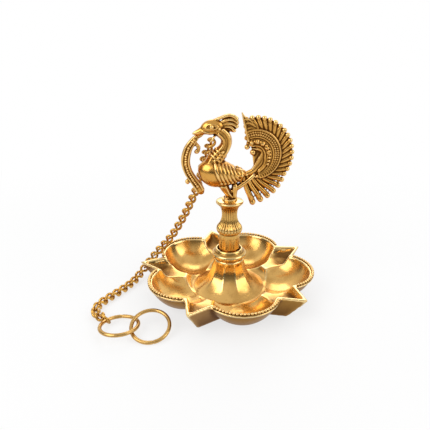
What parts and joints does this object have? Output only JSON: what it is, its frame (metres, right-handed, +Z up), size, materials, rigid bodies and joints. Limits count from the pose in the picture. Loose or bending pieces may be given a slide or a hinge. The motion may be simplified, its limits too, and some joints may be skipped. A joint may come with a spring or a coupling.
{
  "type": "hanging chain oil lamp",
  "caption": "Cast brass oil lamp: lobed wick bowl with spouts, turned stem, bird finial with a plume tail, and a curb chain with rings to hang it from a hook.",
  "frame": {"origin": "centre of the flat foot under the bowl, on the axis of the stem", "axes": "+Z up along the stem, -X the way the bird faces, +Y away from the side that the picture shows"},
  "size_m": [0.1781, 0.1483, 0.1502],
  "materials": {
    "bowl_brass": "polished inside, satin outside",
    "turned_brass": "turned and polished",
    "cast_brass": "sand cast, antiqued in the recesses",
    "chain_brass": "drawn wire, polished",
    "ring_brass": "drawn wire, polished"
  },
  "bodies": {
    "lamp": {"bowl": "bowl_brass", "rim_beading": "bowl_brass", "stem_collar": "turned_brass", "stem": "turned_brass", "bird_body": "cast_brass", "bird_tail": "cast_brass", "bird_vine": "cast_brass"},
    "chain_link_01": {"chain_link_01": "chain_brass"},
    "chain_link_02": {"chain_link_02": "chain_brass"},
    "chain_link_03": {"chain_link_03": "chain_brass"},
    "chain_link_04": {"chain_link_04": "chain_brass"},
    "chain_link_05": {"chain_link_05": "chain_brass"},
    "chain_link_06": {"chain_link_06": "chain_brass"},
    "chain_link_07": {"chain_link_07": "chain_brass"},
    "chain_link_08": {"chain_link_08": "chain_brass"},
    "chain_link_09": {"chain_link_09": "chain_brass"},
    "chain_link_10": {"chain_link_10": "chain_brass"},
    "chain_link_11": {"chain_link_11": "chain_brass"},
    "chain_link_12": {"chain_link_12": "chain_brass"},
    "chain_link_13": {"chain_link_13": "chain_brass"},
    "chain_link_14": {"chain_link_14": "chain_brass"},
    "chain_link_15": {"chain_link_15": "chain_brass"},
    "chain_link_16": {"chain_link_16": "chain_brass"},
    "chain_link_17": {"chain_link_17": "chain_brass"},
    "chain_link_18": {"chain_link_18": "chain_brass"},
    "chain_link_19": {"chain_link_19": "chain_brass"},
    "chain_link_20": {"chain_link_20": "chain_brass"},
    "chain_link_21": {"chain_link_21": "chain_brass"},
    "chain_link_22": {"chain_link_22": "chain_brass"},
    "chain_link_23": {"chain_link_23": "chain_brass"},
    "chain_link_24": {"chain_link_24": "chain_brass"},
    "chain_link_25": {"chain_link_25": "chain_brass"},
    "chain_link_26": {"chain_link_26": "chain_brass"},
    "chain_link_27": {"chain_link_27": "chain_brass"},
    "chain_link_28": {"chain_link_28": "chain_brass"},
    "chain_link_29": {"chain_link_29": "chain_brass"},
    "chain_link_30": {"chain_link_30": "chain_brass"},
    "end_link": {"end_link": "chain_brass"},
    "inner_ring": {"inner_ring": "ring_brass"},
    "hanging_ring": {"hanging_ring": "ring_brass"}
  },
  "joints": [
    {"name": "chain_link_01_swing", "type": "hinge", "parent": "lamp", "child": "chain_link_01", "pos_m": [-0.01397, 0.00064, 0.12765], "axis": [0.3926, 0.808, 0.4392], "range_deg": [0, 20]},
    {"name": "chain_link_02_swing", "type": "hinge", "parent": "chain_link_01", "child": "chain_link_02", "pos_m": [-0.01642, 0.00486, 0.12209], "axis": [0.3926, 0.808, 0.4392], "range_deg": [0, 20]},
    {"name": "chain_link_03_swing", "type": "hinge", "parent": "chain_link_02", "child": "chain_link_03", "pos_m": [-0.01844, 0.00912, 0.11639], "axis": [-0.3986, -0.7977, -0.4525], "range_deg": [-20, 0]},
    {"name": "chain_link_04_swing", "type": "hinge", "parent": "chain_link_03", "child": "chain_link_04", "pos_m": [-0.02015, 0.01319, 0.11044], "axis": [-0.3951, -0.8065, -0.4399], "range_deg": [-20, 0]},
    {"name": "chain_link_05_swing", "type": "hinge", "parent": "chain_link_04", "child": "chain_link_05", "pos_m": [-0.02144, 0.0156, 0.10353], "axis": [0.3513, 0.8941, 0.2777], "range_deg": [0, 20]},
    {"name": "chain_link_06_swing", "type": "hinge", "parent": "chain_link_05", "child": "chain_link_06", "pos_m": [-0.02282, 0.01705, 0.09639], "axis": [0.322, 0.9349, 0.1493], "range_deg": [0, 20]},
    {"name": "chain_link_07_swing", "type": "hinge", "parent": "chain_link_06", "child": "chain_link_07", "pos_m": [-0.02488, 0.0178, 0.08931], "axis": [-0.2921, -0.9557, -0.0354], "range_deg": [-20, 0]},
    {"name": "chain_link_08_swing", "type": "hinge", "parent": "chain_link_07", "child": "chain_link_08", "pos_m": [-0.02743, 0.01867, 0.08241], "axis": [-0.2874, -0.9577, -0.0172], "range_deg": [-20, 0]},
    {"name": "chain_link_09_swing", "type": "hinge", "parent": "chain_link_08", "child": "chain_link_09", "pos_m": [-0.0302, 0.02014, 0.07571], "axis": [0.3081, 0.9487, 0.0714], "range_deg": [0, 20]},
    {"name": "chain_link_10_swing", "type": "hinge", "parent": "chain_link_09", "child": "chain_link_10", "pos_m": [-0.03306, 0.02169, 0.06906], "axis": [0.3133, 0.946, 0.0838], "range_deg": [0, 20]},
    {"name": "chain_link_11_swing", "type": "hinge", "parent": "chain_link_10", "child": "chain_link_11", "pos_m": [-0.03606, 0.02306, 0.06243], "axis": [-0.3037, -0.9507, -0.0622], "range_deg": [-20, 0]},
    {"name": "chain_link_12_swing", "type": "hinge", "parent": "chain_link_11", "child": "chain_link_12", "pos_m": [-0.03934, 0.02388, 0.05585], "axis": [-0.2716, -0.9624, 0.003], "range_deg": [-20, 0]},
    {"name": "chain_link_13_swing", "type": "hinge", "parent": "chain_link_12", "child": "chain_link_13", "pos_m": [-0.04297, 0.02377, 0.04938], "axis": [0.2103, 0.9711, -0.1124], "range_deg": [0, 20]},
    {"name": "chain_link_14_swing", "type": "hinge", "parent": "chain_link_13", "child": "chain_link_14", "pos_m": [-0.04687, 0.02329, 0.04311], "axis": [0.1754, 0.9696, -0.1708], "range_deg": [0, 20]},
    {"name": "chain_link_15_swing", "type": "hinge", "parent": "chain_link_14", "child": "chain_link_15", "pos_m": [-0.05109, 0.02333, 0.03703], "axis": [-0.066, -0.9978, 0], "range_deg": [-20, 0]},
    {"name": "chain_link_16_swing", "type": "hinge", "parent": "chain_link_15", "child": "chain_link_16", "pos_m": [-0.05512, 0.02394, 0.03225], "axis": [-0.1308, -0.9914, 0], "range_deg": [-20, 0]},
    {"name": "chain_link_17_swing", "type": "hinge", "parent": "chain_link_16", "child": "chain_link_17", "pos_m": [-0.05998, 0.02459, 0.0267], "axis": [0.0908, 0.9959, 0], "range_deg": [0, 20]},
    {"name": "chain_link_18_swing", "type": "hinge", "parent": "chain_link_17", "child": "chain_link_18", "pos_m": [-0.06468, 0.02481, 0.02099], "axis": [-0.0594, 0.9982, 0], "range_deg": [0, 20]},
    {"name": "chain_link_19_swing", "type": "hinge", "parent": "chain_link_18", "child": "chain_link_19", "pos_m": [-0.06931, 0.02404, 0.01527], "axis": [0.2166, -0.9743, 0.062], "range_deg": [-20, 0]},
    {"name": "chain_link_20_swing", "type": "hinge", "parent": "chain_link_19", "child": "chain_link_20", "pos_m": [-0.07378, 0.02162, 0.00989], "axis": [0.3684, -0.9057, 0.2097], "range_deg": [-12, 0]},
    {"name": "chain_link_21_swing", "type": "hinge", "parent": "chain_link_20", "child": "chain_link_21", "pos_m": [-0.07835, 0.01604, 0.00535], "axis": [-0.2862, 0.7351, -0.6145], "range_deg": [0, 20]},
    {"name": "chain_link_22_swing", "type": "hinge", "parent": "chain_link_21", "child": "chain_link_22", "pos_m": [-0.08142, 0.00952, 0.00338], "axis": [-0.464, 0.4951, -0.7346], "range_deg": [0, 20]},
    {"name": "chain_link_23_swing", "type": "hinge", "parent": "chain_link_22", "child": "chain_link_23", "pos_m": [-0.08493, 0.00297, 0.0031], "axis": [0.5397, -0.3497, 0.7658], "range_deg": [-20, 0]},
    {"name": "chain_link_24_swing", "type": "hinge", "parent": "chain_link_23", "child": "chain_link_24", "pos_m": [-0.08859, -0.00346, 0.00308], "axis": [0.5537, -0.3233, 0.7674], "range_deg": [-20, 0]},
    {"name": "chain_link_25_swing", "type": "hinge", "parent": "chain_link_24", "child": "chain_link_25", "pos_m": [-0.09278, -0.00957, 0.00303], "axis": [-0.53, 0.361, -0.7673], "range_deg": [0, 20]},
    {"name": "chain_link_26_swing", "type": "hinge", "parent": "chain_link_25", "child": "chain_link_26", "pos_m": [-0.09713, -0.01555, 0.00308], "axis": [-0.5223, 0.3718, -0.7674], "range_deg": [0, 20]},
    {"name": "chain_link_27_swing", "type": "hinge", "parent": "chain_link_26", "child": "chain_link_27", "pos_m": [-0.10122, -0.02172, 0.00308], "axis": [0.5329, -0.3564, 0.7675], "range_deg": [-20, 0]},
    {"name": "chain_link_28_swing", "type": "hinge", "parent": "chain_link_27", "child": "chain_link_28", "pos_m": [-0.10465, -0.02828, 0.00305], "axis": [0.5621, -0.3073, 0.7679], "range_deg": [-20, 0]},
    {"name": "chain_link_29_swing", "type": "hinge", "parent": "chain_link_28", "child": "chain_link_29", "pos_m": [-0.10509, -0.03576, 0.00334], "axis": [-0.6443, 0.0481, -0.7632], "range_deg": [0, 20]},
    {"name": "chain_link_30_swing", "type": "hinge", "parent": "chain_link_29", "child": "chain_link_30", "pos_m": [-0.10179, -0.04251, 0.00415], "axis": [-0.6007, -0.3207, -0.7323], "range_deg": [0, 20]},
    {"name": "end_link_swing", "type": "hinge", "parent": "chain_link_30", "child": "end_link", "pos_m": [-0.09574, -0.04697, 0.0048], "axis": [0.4098, 0.5797, 0.7043], "range_deg": [-35, 0]},
    {"name": "inner_ring_swing", "type": "hinge", "parent": "end_link", "child": "inner_ring", "pos_m": [-0.09284, -0.04879, 0.00405], "axis": [0.3907, 0.9205, 0], "range_deg": [-80, 0]},
    {"name": "hanging_ring_swing", "type": "hinge", "parent": "inner_ring", "child": "hanging_ring", "pos_m": [-0.06807, -0.05767, 0.00582], "axis": [0.2241, -0.8365, 0.5], "range_deg": [0, 80]}
  ]
}
